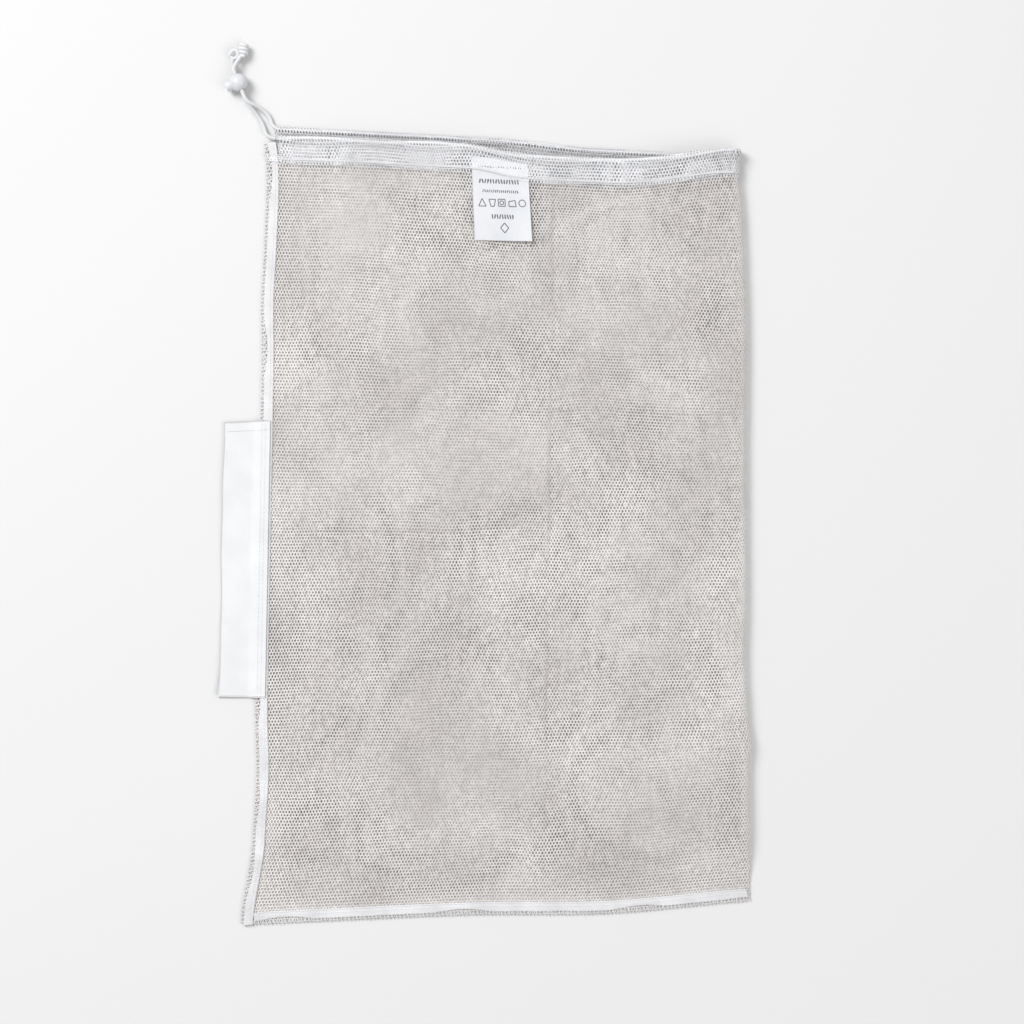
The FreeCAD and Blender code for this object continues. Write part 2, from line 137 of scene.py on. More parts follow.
def waves(count, shortest, longest, height):
    """A sum of gentle waves in chance directions, for hand-laid cloth."""
    angle = rng.uniform(0, 2 * math.pi, count)
    length = rng.uniform(shortest, longest, count)
    phase = rng.uniform(0, 2 * math.pi, count)
    size = height * length / longest / math.sqrt(count)

    def value(x, y):
        total = np.zeros_like(x, dtype=float)
        for a, w, p, h in zip(angle, length, phase, size):
            total = total + h * np.sin(2 * math.pi * (x * math.cos(a) + y * math.sin(a)) / w + p)
        return total * 1.4

    return value


# ---------------------------------------------------------------- camera
view_x, view_y = 16.9, 7.8      # the middle of the picture, on the floor
camera_height = 2000.0
camera_data = bpy.data.cameras.new("camera")
camera_data.sensor_width = 36.0
camera_data.lens = 112.5
camera = bpy.data.objects.new("camera", camera_data)
camera.location = (view_x * MM, view_y * MM, camera_height * MM)
bpy.context.scene.collection.objects.link(camera)
bpy.context.scene.camera = camera


# ---------------------------------------------------------------- materials
def node_material(name):
    material = bpy.data.materials.new(name)
    material.use_nodes = True
    nodes = material.node_tree.nodes
    return material, nodes, material.node_tree.links, nodes["Principled BSDF"]


def add_bump(nodes, links, shader, height, strength, distance):
    bumps = nodes.new("ShaderNodeBump")
    bumps.inputs["Strength"].default_value = strength
    bumps.inputs["Distance"].default_value = distance
    links.new(height, bumps.inputs["Height"])
    links.new(bumps.outputs["Normal"], shader.inputs["Normal"])


def noise(nodes, links, scale, detail=2.0):
    place = nodes.new("ShaderNodeTexCoord")
    texture = nodes.new("ShaderNodeTexNoise")
    texture.inputs["Scale"].default_value = scale
    texture.inputs["Detail"].default_value = detail
    links.new(place.outputs["Object"], texture.inputs["Vector"])
    return texture


def mottle(nodes, links, shader, scale, low, high, detail=2.0, first=0.35, last=0.65):
    """Patches of two close tones as the base colour; gives back the noise they come from."""
    tone = noise(nodes, links, scale, detail)
    colours = nodes.new("ShaderNodeValToRGB")
    colours.color_ramp.elements[0].position = first
    colours.color_ramp.elements[0].color = (*low, 1)
    colours.color_ramp.elements[1].position = last
    colours.color_ramp.elements[1].color = (*high, 1)
    links.new(tone.outputs["Fac"], colours.inputs["Fac"])
    links.new(colours.outputs["Color"], shader.inputs["Base Color"])
    return tone


def cloth_material(name, low, high, patch, fibre, roughness, sheen):
    """Undyed cloth: slow patches of tone and a fine fibre relief."""
    material, nodes, links, shader = node_material(name)
    mottle(nodes, links, shader, patch, low, high, 3.0)
    relief = noise(nodes, links, fibre)
    add_bump(nodes, links, shader, relief.outputs["Fac"], 0.6, 0.00008)
    shader.inputs["Roughness"].default_value = roughness
    shader.inputs["Sheen Weight"].default_value = sheen
    shader.inputs["Sheen Roughness"].default_value = 0.5
    return material


# The net's yarn is the same undyed yarn as the hem's, but darker and warmer: painted shade, standing in for
# the shade in and under the net's two layers; the slow patches of tone are the yarn's own.
net_yarn_painted_shade_material = cloth_material("net_yarn_painted_shade", (0.62, 0.59, 0.575), (0.74, 0.715, 0.70), 18, 5200, 0.8, 0.25)
hem_material = cloth_material("hem_yarn", (0.68, 0.68, 0.70), (0.76, 0.76, 0.78), 30, 5200, 0.8, 0.25)
thread_material = cloth_material("seam_thread", (0.63, 0.63, 0.645), (0.72, 0.72, 0.735), 60, 6000, 0.65, 0.3)
cord_material = cloth_material("cord_braid", (0.57, 0.575, 0.59), (0.65, 0.655, 0.67), 80, 7000, 0.6, 0.3)


def woven_material(name, low, high, thread_mm, roughness, satin):
    """Woven cloth: crossing threads as a relief in the cloth's own directions."""
    material, nodes, links, shader = node_material(name)
    mottle(nodes, links, shader, 60, low, high, 3.0)
    place = nodes.new("ShaderNodeTexCoord")
    heights = []
    for direction in ("X", "Y"):
        wave = nodes.new("ShaderNodeTexWave")
        wave.bands_direction = direction
        wave.inputs["Scale"].default_value = 0.314 / (thread_mm * MM)
        wave.inputs["Distortion"].default_value = 0.6
        wave.inputs["Detail"].default_value = 1.0
        links.new(place.outputs["Object"], wave.inputs["Vector"])
        heights.append(wave.outputs["Fac"])
    mix = nodes.new("ShaderNodeMath")
    mix.operation = "MULTIPLY_ADD"
    mix.inputs[1].default_value = satin
    links.new(heights[0], mix.inputs[0])
    links.new(heights[1], mix.inputs[2])
    add_bump(nodes, links, shader, mix.outputs["Value"], 0.5, 0.00006)
    shader.inputs["Roughness"].default_value = roughness
    shader.inputs["Sheen Weight"].default_value = 0.2
    return material


label_material = woven_material("label_satin", (0.585, 0.60, 0.63), (0.64, 0.65, 0.675), 0.25, 0.42, 0.35)
tape_material = woven_material("tag_tape", (0.64, 0.65, 0.665), (0.685, 0.69, 0.705), 0.45, 0.7, 1.0)


def plastic():
    material, nodes, links, shader = node_material("lock_plastic")
    tone = mottle(nodes, links, shader, 400, (0.57, 0.58, 0.60), (0.62, 0.63, 0.65))
    add_bump(nodes, links, shader, tone.outputs["Fac"], 0.15, 0.00005)
    shader.inputs["Roughness"].default_value = 0.28
    shader.inputs["Subsurface Weight"].default_value = 0.2
    shader.inputs["Subsurface Radius"].default_value = (0.003, 0.003, 0.003)
    shader.inputs["Subsurface Scale"].default_value = 0.5
    return material


def steel():
    material, nodes, links, shader = node_material("spring_steel")
    mottle(nodes, links, shader, 900, (0.50, 0.50, 0.52), (0.62, 0.62, 0.64))
    shader.inputs["Metallic"].default_value = 1.0
    shader.inputs["Roughness"].default_value = 0.3
    return material


def ink():
    material, nodes, links, shader = node_material("label_ink")
    mottle(nodes, links, shader, 1500, (0.05, 0.05, 0.06), (0.15, 0.15, 0.17), first=0.3, last=0.7)
    shader.inputs["Roughness"].default_value = 0.7
    return material


plastic_material, steel_material, ink_material = plastic(), steel(), ink()


# ---------------------------------------------------------------- tubes along lines
def frames_along(path):
    """Unit tangents and two sideways directions that don't twist."""
    tangent = np.gradient(path, axis=0)
    tangent /= np.linalg.norm(tangent, axis=1)[:, None]
    side = np.zeros_like(path)
    first = UP - tangent[0] * (UP @ tangent[0])
    if np.linalg.norm(first) < 0.1:
        first = np.array([1.0, 0.0, 0.0]) - tangent[0] * tangent[0][0]
    side[0] = first / np.linalg.norm(first)
    for k in range(1, len(path)):
        s = side[k - 1] - tangent[k] * (side[k - 1] @ tangent[k])
        side[k] = s / np.linalg.norm(s)
    return tangent, side, np.cross(tangent, side)


def distances(path):
    """How far along the line each of its points is."""
    return np.concatenate([[0], np.cumsum(np.linalg.norm(np.diff(path, axis=0), axis=1))])


def even(path, step):
    """The same line with points a step apart."""
    path = np.asarray(path, float)
    reach = distances(path)
    at = np.linspace(0, reach[-1], max(2, int(round(reach[-1] / step)) + 1))
    return np.stack([np.interp(at, reach, path[:, k]) for k in range(3)], axis=1)


def tube_arrays(path, radius, sides, round_ends=True):
    """Points, side quads and end caps; radius is a number or a function of the place round and along the
    tube.
    """
    _, side, other = frames_along(path)
    reach = distances(path)
    angle = np.arange(sides) * 2 * math.pi / sides
    turn, length = np.meshgrid(angle, reach)
    r = radius(turn, length) if callable(radius) else np.full(turn.shape, float(radius))
    if round_ends:
        size = float(np.mean(r))
        near = np.minimum(length, reach[-1] - length) / size
        r = r * np.sqrt(np.clip(1 - (1 - np.clip(near, 0, 1)) ** 2, 0.01, 1))
    points = path[:, None, :] + r[:, :, None] * (
        np.cos(turn)[:, :, None] * side[:, None, :] + np.sin(turn)[:, :, None] * other[:, None, :])
    count = len(path)
    k, s = np.meshgrid(np.arange(count - 1), np.arange(sides), indexing="ij")
    a, b = k * sides + s, k * sides + (s + 1) % sides
    quads = np.stack([a, b, b + sides, a + sides], axis=-1).reshape(-1, 4)
    start, end = count * sides, count * sides + 1
    points = np.concatenate([points.reshape(-1, 3), path[:1], path[-1:]])
    ring = np.arange(sides)
    nxt = (ring + 1) % sides
    last = (count - 1) * sides
    caps = np.concatenate([
        np.stack([np.full(sides, start), nxt, ring, ring], axis=1),
        np.stack([np.full(sides, end), last + ring, last + nxt, last + nxt], axis=1),
    ])
    return points, quads, caps


def tube_object(name, paths, radius, sides, round_ends=True):
    """One mesh of tubes, one along each path, in mm."""
    all_points, all_faces, base = [], [], 0
    for path in paths:
        points, quads, caps = tube_arrays(np.asarray(path, float), radius, sides, round_ends)
        triangles = np.concatenate([quads[:, [0, 1, 2]], quads[:, [0, 2, 3]], caps[:, :3]])
        all_points.append(points)
        all_faces.append(triangles + base)
        base += len(points)
    return make_object(name, np.concatenate(all_points), np.concatenate(all_faces))


braid_strands = 8
braid_lay = 5.2         # mm along the cord for one strand to go round once


def braid(turn, length):
    """The cord's outside: two sets of strands winding opposite ways, passing over and under."""
    phase = 2 * math.pi * length / braid_lay
    one = np.cos(braid_strands * (turn + phase) / 2)
    two = np.cos(braid_strands * (turn - phase) / 2)
    return cord_r * (0.93 + 0.055 * (np.abs(one) ** 0.7 + np.abs(two) ** 0.7) + 0.02 * one * two)


# ---------------------------------------------------------------- the string's free ends
def cord_line(name, route):
    """The line of a free end: a smooth spline with the route's points, read back as points in mm."""
    curve = bpy.data.curves.new(name, "CURVE")
    curve.dimensions = "3D"
    curve.resolution_u = 24
    spline = curve.splines.new("NURBS")
    spline.points.add(len(route) - 1)
    for point, place in zip(spline.points, route):
        point.co = (*[c * MM for c in place], 1.0)
    spline.order_u = 3
    spline.use_endpoint_u = True
    holder = bpy.data.objects.new(name, curve)
    bpy.context.scene.collection.objects.link(holder)
    mesh = bpy.data.meshes.new_from_object(holder)
    points = np.array([v.co for v in mesh.vertices], float) / MM
    bpy.data.objects.remove(holder)
    bpy.data.meshes.remove(mesh)
    return even(points, 0.16)


front_route = [
    (-130.482, 240.868, 3.45),
    (-136.315, 241.585, 3.2),
    (-138.115, 248.985, 2.2),
    (-142.515, 256.085, 2.0),
    (-148.695, 263.532, 4.5),
    (-150.943, 269.095, 4.5),
    (-155.813, 281.149, 4.5),
    (-157.498, 285.321, 4.5),
    (-157.515, 291.685, 3.8),
]
back_route = [
    (-127.433, 246.717, 2.0),
    (-132.415, 247.385, 2.0),
    (-134.415, 254.885, 2.2),
    (-140.915, 260.685, 4.2),
    (-148.695, 263.532, 6.9),
    (-150.943, 269.095, 6.9),
    (-155.534, 280.461, 6.9),
    (-156.770, 283.521, 6.9),
    (-155.600, 286.700, 6.5),
    (-153.315, 290.485, 5.8),
    (-150.815, 294.085, 4.2),
]


def ring_knot(end):
    """The string looped round nearly twice and drawn flat: a knot like a ring with a small hole."""
    turn = np.linspace(0, 1, 200)
    angle = -1.9 + 2 * math.pi * 1.75 * turn
    reach = 2.5 - 0.25 * turn + 0.2 * np.sin(angle * 2)
    x = 1.2 + reach * np.cos(angle)
    y = 1.5 + reach * 1.08 * np.sin(angle)
    z = -0.9 + 2.5 * smooth(turn * 1.1) + 0.5 * np.sin(angle + 0.8)
    tucked = np.linspace(0, 1, 30)[1:, None] * np.array([-1.6, -2.6, -2.2])
    ring_line = np.stack([x, y, z], axis=1)
    return [end + np.concatenate([ring_line, ring_line[-1] + tucked])]


def barrel_knot(end):
    """The string wound three times round itself, an oval knot with the short end across its top."""
    turn = np.linspace(0, 1, 220)
    angle = 2 * math.pi * 3.7 * turn + 0.6
    reach = 1.15 + 0.95 * np.sin(math.pi * np.clip(turn * 0.86 + 0.09, 0, 1)) ** 0.6
    x = reach * np.cos(angle) + 0.6 * turn
    y = -2.3 + 8.4 * turn
    z = 0.3 + reach * 0.9 * np.sin(angle)
    wound = np.stack([x, y, z], axis=1)
    core = np.linspace(0, 1, 40)[:, None] * np.array([0.5, 6.6, -0.3]) + np.array([0.1, -1.4, 0.1])
    return [wound + end, core + end]


tails = {}
for name, route, tied in (("front_tail", front_route, ring_knot), ("back_tail", back_route, barrel_knot)):
    path = cord_line(name + "_line", route)
    tails[name] = path
    tail = tube_object(name + "_braid", [path], braid, 32, round_ends=False)
    finish_piece(tail, cord_material, "bag", [name])
    strands = [even(s, 0.2) for s in tied(path[-1])]
    knot = tube_object(name + "_knot_tied", strands, braid, 24)
    finish_piece(knot, cord_material, "bag", [name + "_knot"])

for node in ("cord_lock_body", "cord_lock_plunger", "cord_lock_spring"):
    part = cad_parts[node]
    part.data.materials.clear()
    part.data.materials.append(steel_material if node == "cord_lock_spring" else plastic_material)


# ---------------------------------------------------------------- how the cloth lies
def left_wander(y):
    """How far the side seam strays from its straight line, in +X."""
    return (2.0 - 3.2 * bump(y, 252, 16) + 0.9 * bump(y, 205, 25) - 1.0 * bump(y, 137, 22)
            + 1.8 * bump(y, -155, 28) - 6.2 * smooth((-195 - y) / 55))


def right_wander(y):
    return (-0.3 + 2.2 * bump(y, 125, 60) - 1.6 * bump(y, -85, 28) + 2.0 * bump(y, -135, 9)
            - 2.4 * smooth((y - 188) / 38) - 2.6 * smooth((y - 226) / 12))


def foot_wander(x):
    return -1.4 - 4.2 * bump(x, 78, 62)


def front_mouth_wander(x):
    """Of the front hem, in +Y."""
    return 0.6 - 4.6 * smooth((x + 12) / 38) + 10.6 * smooth((x - 78) / 82)


def back_mouth_wander(x):
    return -3.0 * smooth((x - 2) / 62) + 3.7 * smooth((x - 128) / 28)


def settled(x, y):
    """The plan as the bag really lies: its edges wander off their straight lines."""
    share = np.clip((x + 140) / 300, 0, 1)
    height = np.clip((y + 245) / 490, 0, 1)
    moved_x = x + left_wander(y) * (1 - share) ** 2 + right_wander(y) * share ** 2
    moved_y = y + foot_wander(x) * (1 - height) ** 4
    return moved_x, moved_y


seam_side = line(seam_foot, corner, -seam_band)
fold_side = line(fold_foot, fold_top, 0.0)
foot_side = line(seam_foot, fold_foot, seam_band)
low_left, low_right = crossing(seam_side, foot_side), crossing(fold_side, foot_side)
hem_edges = [line(corner, fold_top, -depth) for depth in (front_hem_depth, back_hem_depth)]
high_left = [crossing(seam_side, edge) for edge in hem_edges]       # front, back
high_right = [crossing(fold_side, edge) for edge in hem_edges]
panel_height = float(np.linalg.norm(high_left[0] - low_left))
foot_along = (low_right - low_left) / np.linalg.norm(low_right - low_left)
foot_across = np.array([-foot_along[1], foot_along[0]])

front_stray = [waves(7, 35, 120, 0.75), waves(7, 35, 120, 0.6)]
back_stray = [waves(7, 35, 120, 0.9), waves(7, 35, 120, 0.7)]
front_swell, back_swell = waves(9, 28, 110, 0.85), waves(9, 28, 110, 0.5)


def crease_dip(x, y):
    """Two creases where the bag was folded: one down the middle, one across it."""
    upright = bump(x, 41 + 0.014 * y, 1.5) * (0.75 + 0.25 * np.sin(y / 23))
    level = bump(y, -3.4 + 0.012 * x + 1.5 * np.sin(x / 37), 1.5) * smooth((60 - x) / 60)
    return upright, level


profile_turn = math.pi * (channel_half_width + channel_half_height) / 2
hem_end = hem_reach - channel_shift + profile_turn + hem_reach - channel_shift
full_width = 2 * flat_half + math.pi * fold_r


def hem_profile(beyond, string_height):
    """How far up across the mouth and how far out from the panel: for cloth beyond the hem's edge."""
    to_channel = hem_reach - channel_shift
    rise = smooth((beyond - 10) / 4)
    up_n = (string_height - channel_half_height) * rise
    turn = np.clip((beyond - to_channel) / profile_turn, 0, 1) * math.pi
    round_a = to_channel + channel_half_width * np.sin(turn)
    round_n = string_height - channel_half_height * np.cos(turn)
    down_a = 2 * to_channel + profile_turn - beyond
    down_rise = smooth((down_a - 10) / 4)
    down_n = hem_gap + (string_height + channel_half_height - hem_gap) * down_rise
    in_turn = (beyond > to_channel) & (beyond < to_channel + profile_turn)
    past = beyond >= to_channel + profile_turn
    a = np.where(past, down_a, np.where(in_turn, round_a, beyond))
    n = np.where(past, down_n, np.where(in_turn, round_n, up_n))
    return a, np.where(beyond <= 0, 0.0, n)


def place(q, t, out=0.0, string_line=False):
    """Where a point of the cloth lies, in mm.

    q goes along the mouth from the side seam over the front, round the fold and back over the back panel.
    t goes up from the foot seam, past the hem's edge, over the channel and down the hem's turned layer.
    out stands off the cloth, outward from the bag.
    """
    q, t = np.broadcast_arrays(np.asarray(q, float), np.asarray(t, float))
    beyond = t - panel_height
    v = np.clip(t / panel_height, 0, 1)
    foot_share = smooth(t / foot_ramp)
    top_z = seam_top + (net_top - seam_top) * foot_share
    low_z = net_half + (seam_low - net_half) * (1 - smooth(t / 6)) + hem_gap * smooth((beyond + 8) / 6)
    radius = (top_z - low_z) / 2
    width = (1 - v) * np.linalg.norm(low_right - low_left) + v * np.linalg.norm(high_right[0] - high_left[0])
    front_width = width - radius - net_half
    total = 2 * front_width + math.pi * radius
    w = np.where(q < 0, q, np.where(q > full_width, total + q - full_width, q * total / full_width))
    turn = np.clip((w - front_width) / radius, 0, math.pi)
    side = turn / math.pi                           # 0 on the front, 1 on the back
    behind = w > front_width + math.pi * radius
    s = np.where(behind, total - w, np.minimum(w, front_width))
    u = s / width

    def blend2(front, back):
        return front[None] * (1 - side[..., None]) + back[None] * side[..., None]

    upper_left, upper_right = blend2(high_left[0], high_left[1]), blend2(high_right[0], high_right[1])
    u_, v_ = u[..., None], v[..., None]
    flat = (low_left * (1 - u_) * (1 - v_) + low_right * u_ * (1 - v_)
            + upper_left * (1 - u_) * v_ + upper_right * u_ * v_)
    flat = flat + foot_across * np.minimum(t, 0)[..., None]
    string_height = string_height_front + (string_height_back - string_height_front) * smooth(side)
    a, n = hem_profile(beyond, string_height)
    if string_line:
        a, n = np.full(a.shape, hem_reach), string_height
    flat = flat + across * np.where(beyond > 0, a, 0.0)[..., None]
    n = n + out
    x, y = flat[..., 0], flat[..., 1]
    x, y = settled(x, y)
    mouth = front_mouth_wander(x) * (1 - side) + back_mouth_wander(x) * side
    y = y + mouth * smooth((t - panel_height + 75) / 75)

    inner = smooth(s / 30) * smooth((width - s) / 30) * smooth(t / 30) * smooth(-beyond / 30)
    stray = [np.where(behind, b(x, y), f(x, y)) for f, b in zip(front_stray, back_stray)]
    upright, level = crease_dip(x, y)
    swell = np.where(behind, 0.6 + back_swell(x, y), front_swell(x, y)) - np.where(behind, -1, 1) * (
        1.9 * upright + 1.5 * level)
    outward_z = np.cos(turn)
    plan_out = along * v_ + foot_along * (1 - v_)
    bulge = radius * np.sin(turn) + n * np.sin(turn)
    x = x + plan_out[..., 0] * bulge + stray[0] * inner
    y = y + plan_out[..., 1] * bulge + stray[1] * inner
    ramp_side = smooth(s / side_ramp)
    front_z = seam_top + 0.45 * v + (top_z - seam_top - 0.45 * v) * ramp_side
    back_z = low_z + (seam_low - net_half) * (1 - smooth(s / 6)) * (1 - smooth((beyond + 8) / 6))
    in_fold = low_z + radius + radius * np.cos(turn)
    z = np.where(behind, back_z, np.where(w > front_width, in_fold, front_z))
    z = z + n * outward_z + np.clip(swell, -2.4, 1.6) * inner
    return np.stack([x, y, np.maximum(z, 0.06)], axis=-1)


# ---------------------------------------------------------------- the net
def strayed_grid(q, t):
    """The cloth's own distortion: the two layers' holes drift against each other."""
    behind = q > full_width / 2
    s = np.where(behind, full_width - q, q)
    edge = (smooth(s / 40) * smooth((full_width / 2 - s) / 40)
            * smooth(t / 40) * smooth((panel_height - t) / 40))
    left, right = smooth((190 - s) / 40), smooth((s - 170) / 40)
    drift_q = (left * (3.4 * np.sin(s / 23 + 0.6 * np.sin(t / 70)) * 0.5 + 0.016 * (t - 235) * np.sin(s / 60))
               + right * (2.6 * np.sin(s / 31 + 0.9 * np.sin(t / 47)) + 0.8 * np.sin((s + t) / 19)))
    drift_t = (left * 0.9 * np.sin(t / 61 + s / 40)
               + right * (2.4 * np.sin(t / 29 + 0.8 * np.sin(s / 37)) + 0.8 * np.sin((s - t) / 17)))
    drift_q = np.where(behind, drift_q, 0.25 * np.sin(t / 33 + s / 21) + 0.3 * np.sin(s / 13 - t / 60))
    drift_t = np.where(behind, drift_t, 0.3 * np.sin(s / 27) + 0.2 * np.sin(t / 17))
    turned = smooth((t - panel_height - hem_reach) / 6)
    hem_q = 1.5 * np.sin(s / 19) + 0.9 * np.sin(s / 7.3 + 1.1) + 0.09 * (t - panel_height) * np.sin(s / 33)
    hem_t = 0.9 * np.sin(s / 12.5) + 0.5 * np.sin(s / 31 + 0.7)
    return q + drift_q * edge + hem_q * turned, t + drift_t * edge + hem_t * turned


def build_net():
    """Every hole of the net, from the seam allowance on the front to the one on the back."""
    q_low, q_high = -seam_band + 0.4, full_width + seam_band - 0.4
    t_low, t_high = -seam_band + 0.4, panel_height + hem_end
    columns = int(round((q_high - q_low) / pitch))
    rows = int(round((t_high - t_low) / row))
    px, py = (q_high - q_low) / columns, (t_high - t_low) / rows
    half = 2 * columns + 2

    boundary, column = np.meshgrid(np.arange(rows + 1), np.arange(half), indexing="ij")
    is_centre = (column - 1 - boundary % 2) % 2 == 0
    zig_t = t_low + boundary * py + np.where(is_centre, -zigzag, zigzag) * py
    zig_q = q_low + (column - 0.5) * px / 2
    zig_q = zig_q + rng.normal(0, uneven, zig_q.shape)
    zig_t = zig_t + rng.normal(0, uneven, zig_t.shape)

    r, i = np.meshgrid(np.arange(rows), np.arange(columns), indexing="ij")
    c = 2 * i + 1 + r % 2
    r, c = r.ravel(), np.minimum(c, half - 2).ravel()
    centre_q = q_low + (c - 0.5) * px / 2
    centre_t = t_low + (r + 0.5) * py
    grow = 1 + rng.normal(0, uneven_size, len(r))
    rim_q = np.array([0, -1, -1, 0, 1, 1]) * hole_w
    rim_t = np.array([1, 0.47, -0.47, -1, -0.47, 0.47]) * hole_h
    inner_q = centre_q[:, None] + rim_q * grow[:, None] + rng.normal(0, uneven_hole, (len(r), 6))
    inner_t = centre_t[:, None] + rim_t * grow[:, None] + rng.normal(0, uneven_hole, (len(r), 6))
    outer = np.stack([
        (r + 1) * half + c, (r + 1) * half + c - 1, r * half + c - 1,
        r * half + c, r * half + c + 1, (r + 1) * half + c + 1], axis=1)

    all_q = np.concatenate([zig_q.ravel(), inner_q.ravel()])
    all_t = np.concatenate([zig_t.ravel(), inner_t.ravel()])
    out = np.concatenate([np.full(zig_q.size, ridge), np.full(inner_q.size, valley)])
    moved_q, moved_t = strayed_grid(all_q, all_t)
    points = place(moved_q, moved_t, out)
    inner = zig_q.size + np.arange(len(r) * 6).reshape(-1, 6)
    nxt = [1, 2, 3, 4, 5, 0]
    quads = np.stack([outer, outer[:, nxt], inner[:, nxt], inner], axis=-1)     # cell, side, corner
    return points, all_q, all_t, quads, centre_q, centre_t


net_points, net_q, net_t, net_quads, cell_q, cell_t = build_net()
fold_start = (full_width - math.pi * fold_r) / 2 - 2
fold_end = full_width - fold_start
hem_start = panel_height - 1.0
in_allowance = (cell_q < 0) | (cell_q > full_width)
kept_cells = ~(in_allowance & (cell_t > panel_height + 4) & (cell_t < panel_height + hem_end - 5))


def net_piece(name, chosen, material, nodes):
    """The chosen holes of the net as one piece."""
    chosen = chosen & kept_cells
    quads = net_quads[chosen].reshape(-1, 4)
    used, faces = np.unique(quads, return_inverse=True)
    q, t = net_q[used], net_t[used]
    size = max(np.ptp(q), np.ptp(t)) * 1.02
    uv = np.stack([(q - q.min()) / size + 0.005, (t - t.min()) / size + 0.005], axis=1)
    piece = make_object(name, net_points[used], faces.reshape(-1, 4), uv)
    finish_piece(piece, material, "bag", nodes)


bands = [(-50.0, 155.0, "lower"), (155.0, 315.0, "middle"), (315.0, hem_start, "upper")]
for low, high, word in bands:
    in_band = (cell_t >= low) & (cell_t < high)
    net_piece("net_front_" + word, in_band & (cell_q < fold_start), net_yarn_painted_shade_material, ["front_net"])
    net_piece("net_back_" + word, in_band & (cell_q > fold_end), net_yarn_painted_shade_material, ["back_net"])
net_piece("net_fold", (cell_t < hem_start) & (cell_q >= fold_start) & (cell_q <= fold_end), net_yarn_painted_shade_material,
          ["fold_edge_upper", "fold_edge_lower"])
in_hem = cell_t >= hem_start
net_piece("hem_front", in_hem & (cell_q < fold_start), hem_material, ["front_hem"])
net_piece("hem_back", in_hem & (cell_q > fold_end), hem_material, ["back_hem"])
net_piece("hem_round_fold", in_hem & (cell_q >= fold_start) & (cell_q <= fold_end), hem_material,
          ["hem_fold", "channel_turn"])


# ---------------------------------------------------------------- the string in its channel
def string_wander(q):
    """The string snakes a little inside its channel."""
    return 0.9 * np.sin(q / 13.0) * np.sin(q / 57.0)


string_q = np.arange(0.0, full_width - 10.0, 0.5)
string_path = place(string_q, np.full(string_q.shape, panel_height + hem_reach), string_line=True)
string_path[:, :2] += across * string_wander(string_q)[:, None] * smooth(
    np.minimum(string_q, string_q[-1] - string_q) / 20)[:, None]
string_path = even(string_path, 0.3)
for name, path_start, end in (("front", tails["front_tail"][0], 0), ("back", tails["back_tail"][0], -1)):
    shift = path_start - string_path[end]
    reach = np.arange(len(string_path)) if end == 0 else np.arange(len(string_path))[::-1]
    string_path += shift * (1 - smooth(reach / 60.0))[:, None]
string_piece = tube_object("drawstring_in_channel", [string_path], braid, 20)
finish_piece(string_piece, cord_material, "bag", ["drawstring"])


# ---------------------------------------------------------------- stitching
def stitched(path, stitch, lift):
    """A line of lock stitches: the thread rises over each stitch and dips between."""
    path = even(path, 0.22)
    reach = np.arange(len(path)) * 0.22
    rise = np.abs(np.sin(math.pi * reach / stitch)) ** 0.5
    path = path + UP * ((rise - 0.55) * lift)[:, None]
    path[:, 2] = np.maximum(path[:, 2], hem_thread_r + 0.04)
    return path


turned_t = panel_height + hem_end - 1.6         # on the turned layer, near its edge
front_q = np.linspace(1.0, fold_start + 3, 700)
back_q = np.linspace(fold_end - 3, full_width - 1.0, 700)
for name, q, node in (("front_hem_stitching", front_q, "front_hem_stitch"),
                      ("back_hem_stitching", back_q, "back_hem_stitch")):
    rows_of_thread = []
    for offset in (0.0, 0.55):
        seam = place(q, np.full(q.shape, turned_t - offset), np.full(q.shape, 0.22))
        rows_of_thread.append(stitched(seam, 2.4, 0.3))
    thread = tube_object(name, rows_of_thread, hem_thread_r, 8)
    finish_piece(thread, thread_material, "bag", [node])


seam_top_gap = 10.5            # from the mouth's corner down to the first stitch


def overlock(edge_point, length, stitch=2.4, outer=2.1, inner=7.3):
    """The threads of the seam: a dense band over the cloth, and loops out over the cut edge."""
    count = int(length / stitch)
    middle, under = 0.5 * (inner + outer), 0.36
    band = ((0.00, inner, 1.92), (0.16, middle, 2.04), (0.32, outer, 1.95), (0.42, outer - 0.3, 1.2),
            (0.52, outer, under), (0.68, middle, under), (0.84, inner, under), (0.92, inner + 0.2, 1.1))
    loops = ((0.00, outer + 0.6, 1.95), (0.20, 0.5 * outer, 1.85), (0.36, 0.0, 1.6), (0.44, -0.3, 1.0),
             (0.54, 0.0, 0.5), (0.72, 0.5 * outer, under), (0.86, outer + 0.6, under),
             (0.94, outer + 0.7, 1.1))
    paths = []
    for shift, steps_of in ((0.0, band), (0.2, band), (0.4, band), (0.6, band), (0.8, band), (0.1, loops)):
        steps = []
        for k in range(count):
            base = (k + shift) * stitch
            thin = 2.0 * max(0.0, math.sin(base / 37 + 0.9) * math.sin(base / 11.5))
            for share, inset, z in steps_of:
                inset = inset + (thin if steps_of is band and inset < 4 else 0.0)
                steps.append((min(base + share * stitch, length), inset + rng.normal(0, 0.12), z))
        steps = np.array(steps)
        paths.append(even(edge_point(steps[:, 0], steps[:, 1], steps[:, 2]), 0.3))
    needle = np.arange(0, length, 0.3)
    for inset in (inner - 0.2, inner - 2.1):
        z = 2.02 + 0.2 * np.abs(np.sin(math.pi * needle / stitch)) ** 0.5
        paths.append(edge_point(needle, np.full(needle.shape, inset), z))
    return paths


def side_edge(distance, inset, z):
    """distance down from just below the mouth's corner, inset from the seam's outer edge."""
    start = corner + (seam_foot - corner) * (seam_top_gap / np.linalg.norm(seam_foot - corner))
    down = (seam_foot - start) / np.linalg.norm(seam_foot - start)
    inward = np.array([-down[1], down[0]])
    flat = start + down * np.asarray(distance)[..., None] + inward * np.asarray(inset)[..., None]
    x, y = settled(flat[..., 0], flat[..., 1])
    return np.stack([x, y, np.broadcast_to(z, x.shape)], axis=-1)


